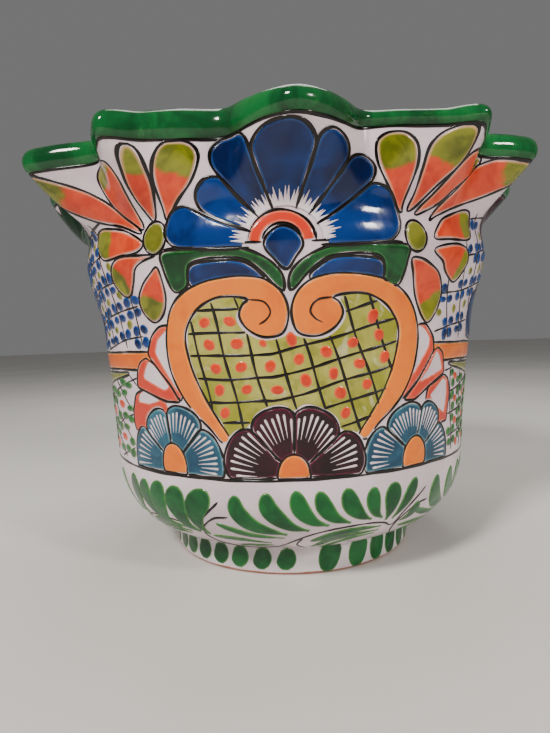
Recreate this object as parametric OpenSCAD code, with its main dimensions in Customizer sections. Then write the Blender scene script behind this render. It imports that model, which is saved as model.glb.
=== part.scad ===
// Glazed earthenware planter: a round bowl on a foot ring, an almost straight
// drum, and a collar that flares into four bracket-shaped lobes with a rolled rim.
// Millimetres, +Z up, origin at the centre of the foot on the table plane.
// Each piece is one the potter forms separately and joins with slip, and each
// meets its neighbour face to face, with no overlap.

/* [Foot] */
// Outside radius of the foot ring
foot_r = 93; // [86:1:100]
// Height of the foot ring
foot_h = 20; // [14:1:26]
// Radial thickness of the foot ring
foot_wall = 16; // [12:1:20]
// Rounding of the two edges the pot stands on
foot_round = 3; // [1:0.5:5]

/* [Floor] */
// Thickness of the floor disc
floor_t = 10; // [7:1:14]
// Radius of the drain hole in the middle of the floor
drain_r = 8; // [5:0.5:14]

/* [Body] */
// Thickness of the thrown wall
wall = 9; // [7:0.5:11]
// Outside radius at the line between bowl and drum
band_r = 134.5; // [127:0.5:142]
// Height of the line between bowl and drum
band_z = 73; // [64:1:82]
// How far round the bowl curves in below that line, in degrees
bowl_sweep = 75; // [50:1:82]
// How much wider the drum is at mid height than at the bowl
drum_spread = 6; // [0:0.5:12]
// How much wider the shoulder is than the bowl
shoulder_spread = 16.5; // [12:0.5:22]
// How much wider the neck is than the bowl
neck_spread = 14; // [9:0.5:19]
// Height of the neck, where the collar is joined on
neck_z = 230; // [222:1:236]

/* [Collar and rim] */
// Height of the rim
height = 280; // [272:1:292]
// Radius of the rim at the middle of each lobe
hump_r = 184; // [174:1:190]
// Distance from the axis to the straight shoulder of each lobe
shoulder_r = 152; // [144:1:158]
// Radius of the rim at the outturned corners
corner_r = 187; // [182:1:195]
// How much further out the rim reaches at the front left corner
left_reach = 6; // [0:0.5:8]
// How far the rim droops at the front left corner
left_droop = 3.5; // [0:0.5:5]
// Radius of the rim in the notch between two lobes
notch_r = 165; // [160:1:171]
// Angle from the middle of a lobe to its corner, in degrees
corner_angle = 33; // [31:0.5:36]
// Width of the rolled rim
roll_w = 15; // [12:0.5:18]
// Height of the rolled rim
roll_h = 16; // [12:0.5:18]
// How much higher the rim stands on its left side than on its right
lean = 2.4; // [0:0.2:4]
// How much earlier the collar turns outwards on its left side than on its right
flare_bias = 0.2; // [0:0.05:0.3]

/* [Hidden] */
$fn = 180;

lobes = 4;
half_lobe = 180 / lobes;          // degrees from the middle of a lobe to its notch
hump_half = 14;                   // degrees each side taken by the raised hump
left_corner = 213;                // direction of the front left corner, in degrees
reach_span = 7;                   // degrees either side over which its extra reach fades
droop_span = 9;                   // degrees either side over which its droop fades
turn_steps = 180;                 // facets round the collar and the rim
bowl_steps = 24;                  // points on each curve of the bowl
drum_steps = 40;                  // points on each side of the drum
collar_steps = 8;                 // rows of facets up the collar
collar_belly = 1.5;               // extra half thickness half way up the collar
seat_angle = 56;                  // where the rolled rim meets the collar's top face
roll_steps = 11;                  // points on the round of the rim

bowl_z = foot_h;
floor_r = foot_r - 7;
neck_r = band_r + neck_spread;
seat_half = roll_w / 2 * cos(seat_angle);
seat_depth = roll_h / 2 * (1 + sin(seat_angle));

glaze_white = [0.86, 0.84, 0.85];
glaze_green = [0.10, 0.45, 0.22];
bare_clay = [0.74, 0.45, 0.32];

// Outside of the drum, bottom to top: height, radius.
drum_keys = [
    [band_z, band_r],
    [band_z + (neck_z - band_z) * 0.27, band_r + drum_spread * 0.35],
    [band_z + (neck_z - band_z) * 0.65, band_r + drum_spread * 1.3],
    [neck_z - 17, band_r + shoulder_spread],
    [neck_z, neck_r],
];

// Plan of the rim over half a lobe: degrees from the middle, radius.
rim_keys = [
    [0, hump_r],
    [hump_half * 0.35, hump_r - 6],
    [hump_half * 0.6, hump_r - 14],
    [hump_half, shoulder_r / cos(hump_half) + 0.5],
    [22, shoulder_r / cos(22)],
    [corner_angle - 4, shoulder_r / cos(corner_angle - 4)],
    [corner_angle, corner_r],
    [corner_angle + 4, corner_r - 6],
    [half_lobe, notch_r],
];

// Slope of a smooth curve at key i; level at both ends when "flat" is set.
function slope(keys, i, flat) =
    let (last = len(keys) - 1, a = max(i - 1, 0), b = min(i + 1, last))
    (flat && (i == 0 || i == last)) ? 0
        : (keys[b][1] - keys[a][1]) / (keys[b][0] - keys[a][0]);

// Which stretch between two keys the value x falls in.
function stretch(keys, x, i = 0) =
    (i >= len(keys) - 2 || x <= keys[i + 1][0]) ? i : stretch(keys, x, i + 1);

// Smooth curve through the keys, read at x.
function smooth(keys, x, flat = true) =
    let (
        i = stretch(keys, x),
        span = keys[i + 1][0] - keys[i][0],
        t = (x - keys[i][0]) / span,
        m0 = slope(keys, i, flat) * span,
        m1 = slope(keys, i + 1, flat) * span
    )
    keys[i][1] * (2 * t * t * t - 3 * t * t + 1) + m0 * (t * t * t - 2 * t * t + t)
        + keys[i + 1][1] * (3 * t * t - 2 * t * t * t) + m1 * (t * t * t - t * t);

// Angle from the middle of the nearest lobe. Lobes face front, right, back and left.
function lobe_angle(turn) = abs(((turn + half_lobe) % (2 * half_lobe)) - half_lobe);

// Bump at the front left corner, 1 at its middle and fading over the given span.
function left_bump(turn, span) = exp(-pow((turn - left_corner) / span, 2));

function rim_r(turn) =
    smooth(rim_keys, lobe_angle(turn)) + left_reach * left_bump(turn, reach_span);
function rim_z(turn) =
    height - lean / 2 * cos(turn) - left_droop * left_bump(turn, droop_span);
function seat_z(turn) = rim_z(turn) - seat_depth;
function seat_r(turn) = rim_r(turn) - roll_w / 2;

// Middle of the collar's wall, t = 0 at the neck and 1 at the rolled rim.
function collar_r(turn, t) =
    let (start = neck_r - wall / 2)
    start + (seat_r(turn) - start) * pow(t, 1 + flare_bias * cos(turn));

// Half the radial thickness of the collar, from the wall's to the rim seat's.
function collar_half(t) =
    wall / 2 + (seat_half - wall / 2) * t + collar_belly * sin(180 * t);

// Cross-section of the collar: up the outside, down the inside.
function collar_section(turn) =
    let (rise = seat_z(turn) - neck_z)
    concat(
        [for (i = [0 : collar_steps]) let (t = i / collar_steps)
            [collar_r(turn, t) + collar_half(t), neck_z + rise * t]],
        [for (i = [collar_steps : -1 : 0]) let (t = i / collar_steps)
            [collar_r(turn, t) - collar_half(t), neck_z + rise * t]]
    );

// Cross-section of the rolled rim: an oval with a flat seat underneath.
function roll_section(turn) =
    let (centre_z = rim_z(turn) - roll_h / 2, sweep = 180 + 2 * seat_angle)
    [for (i = [0 : roll_steps]) let (a = -seat_angle + sweep * i / roll_steps)
        [seat_r(turn) + roll_w / 2 * cos(a), centre_z + roll_h / 2 * sin(a)]];

// Closed ring swept round the axis from the cross-section at each turn.
module swept_ring(section) {
    sections = [for (k = [0 : turn_steps - 1]) section(360 * k / turn_steps)];
    count = len(sections[0]);
    points = [for (k = [0 : turn_steps - 1]) for (p = sections[k])
        let (turn = 360 * k / turn_steps)
        [p[0] * cos(turn), p[0] * sin(turn), p[1]]];
    faces = [for (k = [0 : turn_steps - 1]) for (i = [0 : count - 1])
        let (
            next_k = (k + 1) % turn_steps,
            next_i = (i + 1) % count,
            a = k * count + i,
            b = next_k * count + i,
            c = next_k * count + next_i,
            d = k * count + next_i
        )
        each [[a, c, b], [a, d, c]]];
    polyhedron(points, faces);
}

// One side of the bowl: part of an oval from radius low_r at low_z up to the band.
function bowl_side(low_r, low_z, high_r) =
    let (
        half_w = (high_r - low_r) / (1 - cos(bowl_sweep)),
        half_h = (band_z - low_z) / sin(bowl_sweep)
    )
    [for (i = [0 : bowl_steps]) let (a = -bowl_sweep * (1 - i / bowl_steps))
        [high_r - half_w * (1 - cos(a)), band_z + half_h * sin(a)]];

// One side of the drum, set in from the outside by the given amount.
function drum_side(inset) =
    [for (i = [0 : drum_steps]) let (z = band_z + (neck_z - band_z) * i / drum_steps)
        [smooth(drum_keys, z, false) - inset, z]];

function reversed(list) = [for (i = [len(list) - 1 : -1 : 0]) list[i]];

// Glazed ring the pot stands on, with both lower edges rounded.
module foot_ring() {
    inner_r = foot_r - foot_wall;
    color(glaze_white)
    rotate_extrude()
    union() {
        translate([inner_r, foot_round])
            square([foot_wall, foot_h - foot_round]);
        translate([inner_r + foot_round, 0])
            square([foot_wall - 2 * foot_round, foot_h]);
        translate([inner_r + foot_round, foot_round])
            circle(r = foot_round, $fn = 48);
        translate([foot_r - foot_round, foot_round])
            circle(r = foot_round, $fn = 48);
    }
}

// Flat floor with the drain hole, resting on the foot ring inside the bowl.
module floor_disc() {
    color(bare_clay)
    translate([0, 0, bowl_z])
    difference() {
        cylinder(h = floor_t, r = floor_r);
        translate([0, 0, -1])
            cylinder(h = floor_t + 2, r = drain_r, $fn = 64);
    }
}

// Rounded bowl from the foot ring up to the painted line.
module lower_bowl() {
    color(glaze_white)
    rotate_extrude()
    polygon(concat(
        bowl_side(foot_r + 1, bowl_z, band_r),
        reversed(bowl_side(floor_r, bowl_z + floor_t, band_r - wall)),
        [[floor_r, bowl_z]]
    ));
}

// Almost straight wall with a soft shoulder just under the neck.
module drum_wall() {
    color(glaze_white)
    rotate_extrude()
    polygon(concat(drum_side(0), reversed(drum_side(wall))));
}

// Collar pulled out from the round neck to the four lobes of the rim.
module flared_collar() {
    color(glaze_white)
    swept_ring(function(turn) collar_section(turn));
}

// Thick green rolled rim that finishes the collar.
module rim_roll() {
    color(glaze_green)
    swept_ring(function(turn) roll_section(turn));
}

foot_ring();
floor_disc();
lower_bowl();
drum_wall();
flared_collar();
rim_roll();
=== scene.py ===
"""Glazed earthenware planter with raised majolica painting.

The pot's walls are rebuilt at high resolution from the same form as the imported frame,
and the painting is laid on them as thin raised glaze. Lengths in this script are
millimetres until a mesh is made, and then metres. The front faces -Y, +Z is up.
"""

import math

import bmesh
import bpy
import numpy as np
from mathutils import Matrix, Vector
from mathutils.geometry import delaunay_2d_cdt


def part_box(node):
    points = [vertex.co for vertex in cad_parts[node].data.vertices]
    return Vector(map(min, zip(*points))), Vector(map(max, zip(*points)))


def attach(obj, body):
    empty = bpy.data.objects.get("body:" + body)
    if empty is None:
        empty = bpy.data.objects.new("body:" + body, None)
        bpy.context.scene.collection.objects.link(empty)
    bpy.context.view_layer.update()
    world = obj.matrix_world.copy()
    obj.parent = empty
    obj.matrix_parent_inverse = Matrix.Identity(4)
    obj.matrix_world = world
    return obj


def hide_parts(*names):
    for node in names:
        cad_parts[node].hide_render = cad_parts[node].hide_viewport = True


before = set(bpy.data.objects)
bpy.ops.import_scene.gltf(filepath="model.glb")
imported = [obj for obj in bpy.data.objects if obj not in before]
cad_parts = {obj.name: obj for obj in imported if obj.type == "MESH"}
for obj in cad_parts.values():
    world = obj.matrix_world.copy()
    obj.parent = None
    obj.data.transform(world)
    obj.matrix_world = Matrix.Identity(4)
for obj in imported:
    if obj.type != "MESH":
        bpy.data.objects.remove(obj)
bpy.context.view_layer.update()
MM = 0.001


def node_box(node):
    """Lowest and highest corner of a CAD node, in millimetres."""
    low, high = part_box(node)
    return [c / MM for c in low], [c / MM for c in high]


# ---------------------------------------------------------------- form of the pot

FOOT_R, _, FOOT_H = node_box("foot_ring")[1]
BAND_R, _, BAND_Z = node_box("lower_bowl")[1]
SHOULDER_R, _, NECK_Z = node_box("drum_wall")[1]
FLOOR_LOW, FLOOR_HIGH = node_box("floor_disc")
FLOOR_R, _, FLOOR_TOP = FLOOR_HIGH

# Sizes that no box gives, as in the part's source. Turns are degrees from the front,
# positive to the right.
FOOT_WALL = 16.0
DRAIN_R = 8.0
WALL = 9.0
BOWL_SWEEP = math.radians(75)
DRUM_SPREAD = 6.0
NECK_R = BAND_R + 14.0
HEIGHT = 280.0
HUMP_R = 184.0
SIDE_R = 152.0
CORNER_R = 187.0
NOTCH_R = 165.0
CORNER_ANGLE = 33.0
HUMP_HALF = 14.0
HALF_LOBE = 45.0
ROLL_W = 15.0
ROLL_H = 16.0
LEAN = 2.4
FLARE_BIAS = 0.2
LEFT_CORNER = -57.0
LEFT_REACH = 6.0
REACH_SPAN = 7.0
LEFT_DROOP = 3.5
DROOP_SPAN = 9.0
# The rolled rim's thickness varies here more than in the frame.
SWELL = 2.0                                  # how much higher the rim is on a thick stretch
SWELL_TURN = -19.0
SWELL_SPAN = 10.5
# Where the rolled rim is thinner: middle turn, span, and the share taken off its height.
THIN_SPOTS = ((24.0, 14.0, 0.38), (0.0, 9.0, 0.1), (SWELL_TURN, SWELL_SPAN, -0.135))
COLLAR_BELLY = 1.5
SEAT_ANGLE = math.radians(56)
SEAT_HALF = ROLL_W / 2 * math.cos(SEAT_ANGLE)
SEAT_SHARE = (1 + math.sin(SEAT_ANGLE)) / 2

BOWL_HALF_W = (BAND_R - FOOT_R - 1) / (1 - math.cos(BOWL_SWEEP))
BOWL_HALF_H = (BAND_Z - FOOT_H) / math.sin(BOWL_SWEEP)
BOWL_ARC = (BOWL_HALF_W + BOWL_HALF_H) / 2

DRUM_RISE = NECK_Z - BAND_Z
DRUM_KEYS = [
    (BAND_Z, BAND_R),
    (BAND_Z + DRUM_RISE * 0.27, BAND_R + DRUM_SPREAD * 0.35),
    (BAND_Z + DRUM_RISE * 0.65, BAND_R + DRUM_SPREAD * 1.3),
    (NECK_Z - 17, SHOULDER_R),
    (NECK_Z, NECK_R),
]


def straight(angle):
    """Radius at this angle of the straight side of a lobe."""
    return SIDE_R / math.cos(math.radians(angle))


RIM_KEYS = [
    (0, HUMP_R),
    (HUMP_HALF * 0.35, HUMP_R - 6),
    (HUMP_HALF * 0.6, HUMP_R - 14),
    (HUMP_HALF, straight(HUMP_HALF) + 0.5),
    (22, straight(22)),
    (CORNER_ANGLE - 4, straight(CORNER_ANGLE - 4)),
    (CORNER_ANGLE, CORNER_R),
    (CORNER_ANGLE + 4, CORNER_R - 6),
    (HALF_LOBE, NOTCH_R),
]


def smooth(keys, x, flat=True):
    """Smooth curve through the keys (x, y), level at both ends when flat."""
    keys = np.array(keys, float)
    count = len(keys)
    low = np.maximum(np.arange(count) - 1, 0)
    high = np.minimum(np.arange(count) + 1, count - 1)
    slope = (keys[high, 1] - keys[low, 1]) / (keys[high, 0] - keys[low, 0])
    if flat:
        slope[0] = slope[-1] = 0.0
    x = np.asarray(x, float)
    i = np.clip(np.searchsorted(keys[:, 0], x) - 1, 0, count - 2)
    span = keys[i + 1, 0] - keys[i, 0]
    t = (x - keys[i, 0]) / span
    return (
        keys[i, 1] * (2 * t**3 - 3 * t**2 + 1)
        + slope[i] * span * (t**3 - 2 * t**2 + t)
        + keys[i + 1, 1] * (3 * t**2 - 2 * t**3)
        + slope[i + 1] * span * (t**3 - t**2)
    )


def lobe_angle(turn):
    """Degrees from the middle of the nearest lobe."""
    return np.abs(np.mod(turn + HALF_LOBE, 2 * HALF_LOBE) - HALF_LOBE)


def bump(turn, middle, span, power=2):
    """Smooth bump, 1 at its middle turn and fading over the span either side."""
    away = np.mod(turn - middle + 180, 360) - 180
    return np.exp(-((away / span) ** power))


def rim_z(turn):
    """Height of the top of the rim."""
    return (
        HEIGHT
        - LEAN / 2 * np.sin(np.radians(turn))
        - LEFT_DROOP * bump(turn, LEFT_CORNER, DROOP_SPAN)
        + SWELL * bump(turn, SWELL_TURN, SWELL_SPAN, 4)
    )


def roll_height(turn):
    """Height of the rolled rim, which is thinner in places."""
    thinned = sum(share * bump(turn, middle, span, 4) for middle, span, share in THIN_SPOTS)
    return ROLL_H * (1 - thinned)


def seat_z(turn):
    """Height at which the rolled rim sits on the collar."""
    return rim_z(turn) - roll_height(turn) * SEAT_SHARE


def seat_r(turn):
    """Radius of the middle of the rolled rim, further out at the front left corner."""
    reach = LEFT_REACH * bump(turn, LEFT_CORNER, REACH_SPAN)
    return smooth(RIM_KEYS, lobe_angle(turn)) + reach - ROLL_W / 2


def collar_mid(turn, t):
    """Middle of the collar's wall, t = 0 at the neck and 1 at the rim."""
    start = NECK_R - WALL / 2
    bias = 1 + FLARE_BIAS * np.sin(np.radians(turn))
    return start + (seat_r(turn) - start) * t**bias


def collar_half(t):
    """Half the radial thickness of the collar's wall."""
    return WALL / 2 + (SEAT_HALF - WALL / 2) * t + COLLAR_BELLY * np.sin(np.pi * t)


def raw_radius(turn, z):
    """Outside radius of the bowl, drum and collar, as in the frame."""
    fall = np.clip((BAND_Z - z) / BOWL_HALF_H, 0, 1)
    bowl = BAND_R - BOWL_HALF_W * (1 - np.sqrt(1 - fall**2))
    drum = smooth(DRUM_KEYS, np.clip(z, BAND_Z, NECK_Z), False)
    t = np.clip((z - NECK_Z) / (seat_z(turn) - NECK_Z), 0, 1)
    collar = collar_mid(turn, t) + collar_half(t)
    return np.where(z < BAND_Z, bowl, np.where(z <= NECK_Z, drum, collar))


def unevenness(turn, z):
    """Slight hand-made waviness of the wall, fading out at the rim and the foot."""
    a = np.radians(turn)
    fade = np.clip((z - 25) / 40, 0, 1) * np.clip((262 - z) / 40, 0, 1)
    waves = (
        0.55 * np.sin(3 * a + 0.8 + z / 90)
        + 0.35 * np.sin(7 * a + z / 35)
        + 0.22 * np.sin(11 * a - z / 28)
        + 0.16 * np.sin(z / 6.5 + 2 * a)
    )
    crease = -0.9 * np.exp(-((turn + 1.0) / 3.2) ** 2) * np.clip((z - 90) / 30, 0, 1)
    return fade * (waves + crease * np.clip((205 - z) / 30, 0, 1))


def wall_radius(turn, z):
    """Outside radius with the joins softened and the hand-made waviness."""
    turn, z = np.broadcast_arrays(np.asarray(turn, float), np.asarray(z, float))
    turn = np.mod(turn + 180, 360) - 180
    reach = 5 * np.clip((z - 80) / 20, 0, 1) * np.clip((262 - z) / 8, 0, 1)
    steps = (-1, -0.5, 0, 0.5, 1)
    total = sum(raw_radius(turn, z + reach * s) for s in steps)
    return total / len(steps) + unevenness(turn, z)


def bowl_height(v):
    """Height on the pot of paint height v, which follows the bowl's curve downwards."""
    fall = np.clip((BAND_Z - v) / BOWL_ARC, 0, BOWL_SWEEP)
    return np.where(v < BAND_Z, BAND_Z - BOWL_HALF_H * np.sin(fall), v)


def foot_radius(turn, z):
    """Outside of the foot ring, drawn in a little at the table."""
    a = np.radians(turn)
    edge = np.clip((3 - z) / 3, 0, 1)
    return FOOT_R - 1.2 * (1 - z / FOOT_H) - 3 * (1 - np.sqrt(1 - edge**2)) + 0.2 * np.sin(5 * a)


# ------------------------------------------------------------------ plan geometry

def pairs(x, v):
    """Points of the plan from their two coordinates."""
    return np.stack([x, v], -1)


def about_axis(turn, r, z):
    """Points at the given turns, radii and heights; turn 0 faces the front."""
    a = np.radians(turn)
    return np.stack([r * np.sin(a), -r * np.cos(a), np.broadcast_to(z, a.shape)], -1)


def polar(centre, radius, degrees):
    """Points of the plan at the given radii and angles about a centre."""
    a = np.radians(degrees)
    return pairs(centre[0] + radius * np.cos(a), centre[1] + radius * np.sin(a))


def sideways(path):
    """Unit vector to the right of a path's run, at each of its points."""
    ahead = np.gradient(path, axis=0)
    ahead /= np.linalg.norm(ahead, axis=1, keepdims=True) + 1e-9
    return pairs(ahead[:, 1], -ahead[:, 0])


# ------------------------------------------------------- painting laid on the wall

PAINT_R = 140.0                              # radius at which paint millimetres are true
MM_PER_DEGREE = PAINT_R * math.pi / 180
SINK = 0.3                                   # how far the glaze reaches into the wall
LEVEL = 0.12                                 # step in height between layers of glaze
OVER = 3                                     # layers up that clear another colour's top
PILLOW = 1.1                                 # width over which a patch's edge is rounded
LIP = 0.06                                   # height of a patch at its very edge
CROSS = np.array([-1, -0.82, -0.45, 0, 0.45, 0.82, 1])
CROWN = np.array([0.1, 0.72, 0.95, 1, 0.95, 0.72, 0.1])
rng = np.random.default_rng(11)


def on_wall(x, v, lift, turn):
    """Point of the bowl, drum or collar at paint place (x, v), raised by lift."""
    def place(x, v):
        angle = turn + x / MM_PER_DEGREE
        z = bowl_height(v)
        return about_axis(angle, wall_radius(angle, z), z)
    return raised(place, x, v, lift)


def on_foot(x, v, lift, turn):
    """Point of the foot ring at paint place (x, v), raised by lift."""
    def place(x, v):
        angle = turn + x / MM_PER_DEGREE
        return about_axis(angle, foot_radius(angle, v), v)
    return raised(place, x, v, lift)


def raised(place, x, v, lift):
    """Surface point moved out along the surface's normal."""
    step = 0.4
    here = place(x, v)
    across = place(x + step, v) - place(x - step, v)
    up = place(x, v + step) - place(x, v - step)
    normal = np.cross(across, up)
    normal /= np.linalg.norm(normal, axis=-1, keepdims=True) + 1e-9
    return here + normal * np.asarray(lift)[..., None]


class Paint:
    """One painted piece: raised glaze of one colour, gathered stroke by stroke."""

    def __init__(self, name, material, turn=0.0, place=on_wall):
        self.name = name
        self.material = material
        self.turn = turn
        self.place = place
        self.points = []
        self.faces = []
        self.marks = []
        self.count = 0

    def add(self, x, v, lift, faces, run, edge):
        """Adds one closed shell, with the marks run, edge and tint at each point."""
        tint = rng.random()
        self.points.append(self.place(x, v, lift, self.turn))
        self.marks.append(np.stack([run, edge, np.full(len(x), tint)], -1))
        self.faces += [[i + self.count for i in face] for face in faces]
        self.count += len(x)

    def ribbon(self, path, half, level=0, lift=0.3):
        """Brush stroke along the path, of the given half width, closed underneath."""
        path = np.asarray(path, float)
        half = np.broadcast_to(np.asarray(half, float), len(path))[:, None]
        top = path[:, None] + sideways(path)[:, None] * (half * CROSS)[..., None]
        height = LEVEL * level + lift * CROWN * np.clip(half / 0.5, 0.25, 1)
        plan = np.concatenate([top, path[:, None]], 1).reshape(-1, 2)
        heights = np.concatenate([height, np.full((len(path), 1), -SINK)], 1)
        edge = np.concatenate([(1 - np.abs(CROSS)) * half, half], 1)
        across = len(CROSS) + 1
        run = np.repeat(np.linspace(0, 1, len(path)), across)
        last = (len(path) - 1) * across
        faces = []
        for a in range(0, last, across):
            b = a + across
            for i in range(across):
                j = (i + 1) % across
                faces.append([a + i, b + i, b + j, a + j])
        faces.append(list(range(across)))
        faces.append([last + i for i in reversed(range(across))])
        self.add(plan[:, 0], plan[:, 1], heights.ravel(), faces, run, edge.ravel())

    def patch(self, loop, level=0, lift=0.38, axis=None, cut=()):
        """Filled shape with pillowed edges, without the parts inside the cut outlines.

        axis is the line along which run is measured, from its start to its end.
        """
        loops = [tidy_loop(loop)] + [tidy_loop(c) for c in cut]
        plan, triangles = filling(loops)
        if not len(triangles):
            return
        depth = np.min([distance_to(ring, plan) for ring in loops], axis=0)
        rise = np.sqrt(np.clip(1 - (1 - np.clip(depth / PILLOW, 0, 1)) ** 2, 0, 1))
        high = LEVEL * level + LIP + (lift - LIP) * rise
        total = len(plan)
        faces = []
        for a, b, c in triangles:
            faces.append([a, b, c])
            faces.append([total + a, total + c, total + b])
        for a, b in outline_edges(triangles):
            faces.append([b, a, total + a, total + b])
        heights = np.concatenate([high, np.full(total, -SINK)])
        x, v = np.tile(plan, (2, 1)).T
        self.add(x, v, heights, faces, np.tile(run_along(plan, axis), 2), np.tile(depth, 2))

    def dot(self, x, v, radius, level=0, lift=0.4, wide=1.0):
        """Round dab of glaze, not quite circular."""
        count = 12
        a = np.linspace(0, 2 * np.pi, count, endpoint=False)
        squash = 1 + 0.12 * rng.standard_normal()
        lean = rng.uniform(0, np.pi)
        wobble = radius * (1 + 0.1 * np.cos(2 * (a - lean)))
        scale = np.append(np.repeat([1.0, 0.8, 0.45], count), [0, 0])
        rise = np.append(np.repeat([0.08, 0.7, 0.95], count), [1, 1])
        across = np.append(np.tile(wide * wobble * np.cos(a), 3), [0, 0])
        up = np.append(np.tile(squash * wobble * np.sin(a), 3), [0, 0])
        heights = LEVEL * level + lift * rise
        heights[-1] = -SINK
        top, bottom = 3 * count, 3 * count + 1
        faces = []
        for i in range(count):
            j = (i + 1) % count
            faces.append([i, j, count + j, count + i])
            faces.append([count + i, count + j, 2 * count + j, 2 * count + i])
            faces.append([2 * count + i, 2 * count + j, top])
            faces.append([j, i, bottom])
        middle = np.full(len(scale), 0.5)
        self.add(x + scale * across, v + scale * up, heights, faces, middle, (1 - scale) * radius)

    def line(self, path, half, level, taper, lift=0.34):
        """Dark outline: a brush line whose width breathes and thins at both ends."""
        path = resample(path, 1.6)
        count = len(path)
        if count < 3:
            return
        s = np.linspace(0, 1, count)
        length = np.linalg.norm(np.diff(path, axis=0), axis=1).sum()
        phase = rng.uniform(0, 6.28, 2)
        breath = 1 + 0.16 * np.sin(s * length / 5 + phase[0])
        breath += 0.12 * np.sin(s * length / 2.3 + phase[1])
        ends = np.clip(np.minimum(s, 1 - s) * length / 3.0, 0, 1) ** 0.6
        width = half * breath * (taper + (1 - taper) * ends)
        sway = 0.18 * np.sin(s * length / 7 + phase[1])
        self.ribbon(path + sideways(path) * sway[:, None], width, level, lift)

    def build(self):
        """Makes the mesh, with the marks that the materials read."""
        mesh = bpy.data.meshes.new(self.name)
        points = np.concatenate(self.points) * MM
        mesh.from_pydata([tuple(p) for p in points], [], self.faces)
        marks = np.concatenate(self.marks)
        for index, label in enumerate(("run", "edge", "tint")):
            layer = mesh.attributes.new(label, "FLOAT", "POINT")
            layer.data.foreach_set("value", marks[:, index].astype(np.float32))
        return finish_mesh(mesh, self.name, self.material, 60)


def resample(path, step):
    """Points at even steps along an open path."""
    path = np.asarray(path, float)
    along = np.concatenate([[0], np.cumsum(np.linalg.norm(np.diff(path, axis=0), axis=1))])
    count = max(3, int(round(along[-1] / step)) + 1)
    s = np.linspace(0, along[-1], count)
    return pairs(np.interp(s, along, path[:, 0]), np.interp(s, along, path[:, 1]))


def curve(points, closed=False, step=1.2):
    """Smooth curve through the points, at even steps."""
    p = np.asarray(points, float)
    if closed:
        p = np.concatenate([p[-1:], p, p[:2]])
    else:
        p = np.concatenate([2 * p[:1] - p[1:2], p, 2 * p[-1:] - p[-2:-1]])
    t = np.linspace(0, 1, 12, endpoint=False)[:, None]
    parts = []
    for k in range(1, len(p) - 2):
        a, b, c, d = p[k - 1 : k + 3]
        bend = (2 * a - 5 * b + 4 * c - d) * t**2 + (3 * b - a - 3 * c + d) * t**3
        parts.append(0.5 * (2 * b + (c - a) * t + bend))
    parts.append(p[-2][None])
    return resample(np.concatenate(parts), step)[: -1 if closed else None]


def tidy_loop(loop):
    """Closed outline at even steps, counter-clockwise, without its repeated last point."""
    loop = np.asarray(loop, float)
    loop = resample(np.concatenate([loop, loop[:1]]), 1.3)[:-1]
    area = np.sum(loop[:, 0] * np.roll(loop[:, 1], -1) - np.roll(loop[:, 0], -1) * loop[:, 1])
    return loop[::-1] if area < 0 else loop


def distance_to(loop, points):
    """Distance of each point from a closed outline."""
    a = loop[None]
    ab = np.roll(loop, -1, 0)[None] - a
    ap = points[:, None] - a
    t = np.clip((ap * ab).sum(-1) / ((ab**2).sum(-1) + 1e-9), 0, 1)
    return np.linalg.norm(ap - ab * t[..., None], axis=-1).min(1)


def inside(loop, points):
    """True for each point that lies inside the closed outline."""
    x, y = points[:, 0][:, None], points[:, 1][:, None]
    x0, y0 = loop[:, 0][None], loop[:, 1][None]
    x1, y1 = np.roll(loop, -1, 0)[:, 0][None], np.roll(loop, -1, 0)[:, 1][None]
    spans = (y0 > y) != (y1 > y)
    cut = x0 + (y - y0) * (x1 - x0) / np.where(np.abs(y1 - y0) < 1e-9, 1e-9, y1 - y0)
    return (spans & (x < cut)).sum(1) % 2 == 1


def inset_points(loop, depth, within=True):
    """Points at one depth inside the outline, or to the left of its run."""
    ahead = np.roll(loop, -1, 0) - np.roll(loop, 1, 0)
    ahead /= np.linalg.norm(ahead, axis=1, keepdims=True) + 1e-9
    moved = loop + pairs(-ahead[:, 1], ahead[:, 0]) * depth
    keep = (inside(loop, moved) == within) & (distance_to(loop, moved) > depth * 0.93)
    return moved[keep]


def ring_inside(loops, depth):
    """Points at one depth from the nearest of the outlines, inside the first only."""
    found = [inset_points(loops[0], depth)]
    found += [inset_points(ring[::-1], depth, False) for ring in loops[1:]]
    points = np.concatenate(found)
    for k, ring in enumerate(loops):
        good = inside(ring, points) == (k == 0)
        points = points[good & (distance_to(ring, points) > depth * 0.93)]
    return points


def filling(loops):
    """Plan points and triangles that fill the first outline, without the others."""
    edges, start = [], 0
    for ring in loops:
        edges += [(start + k, start + (k + 1) % len(ring)) for k in range(len(ring))]
        start += len(ring)
    inner = [ring_inside(loops, depth) for depth in (0.4, PILLOW)]
    inner.append(hex_points(loops[0], 2.6, PILLOW + 0.7))
    points = np.concatenate(loops + [p for p in inner if len(p)])
    result = delaunay_2d_cdt([Vector(p) for p in points], edges, [], 0, 1e-4)
    plan = np.array([tuple(p) for p in result[0]])
    triangles = kept_triangles(plan, result[2], loops)
    used = np.unique(triangles)
    return plan[used], np.searchsorted(used, triangles)


def run_along(plan, axis):
    """How far along the axis each point is, or how high in the shape without one."""
    if axis is None:
        return (plan[:, 1] - plan[:, 1].min()) / (np.ptp(plan[:, 1]) + 1e-6)
    start, end = np.array(axis, float)
    line = end - start
    return np.clip((plan - start) @ line / (line @ line), 0, 1.2)


def kept_triangles(plan, faces, loops):
    """Triangles inside the first outline and outside the others."""
    triangles = np.array([list(f) for f in faces if len(f) == 3])
    middles = plan[triangles].mean(1)
    good = inside(loops[0], middles)
    for ring in loops[1:]:
        good &= ~inside(ring, middles)
    corners = plan[triangles]
    u, v = corners[:, 1] - corners[:, 0], corners[:, 2] - corners[:, 0]
    good &= np.abs(u[:, 0] * v[:, 1] - u[:, 1] * v[:, 0]) > 1e-5
    return triangles[good]


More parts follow.
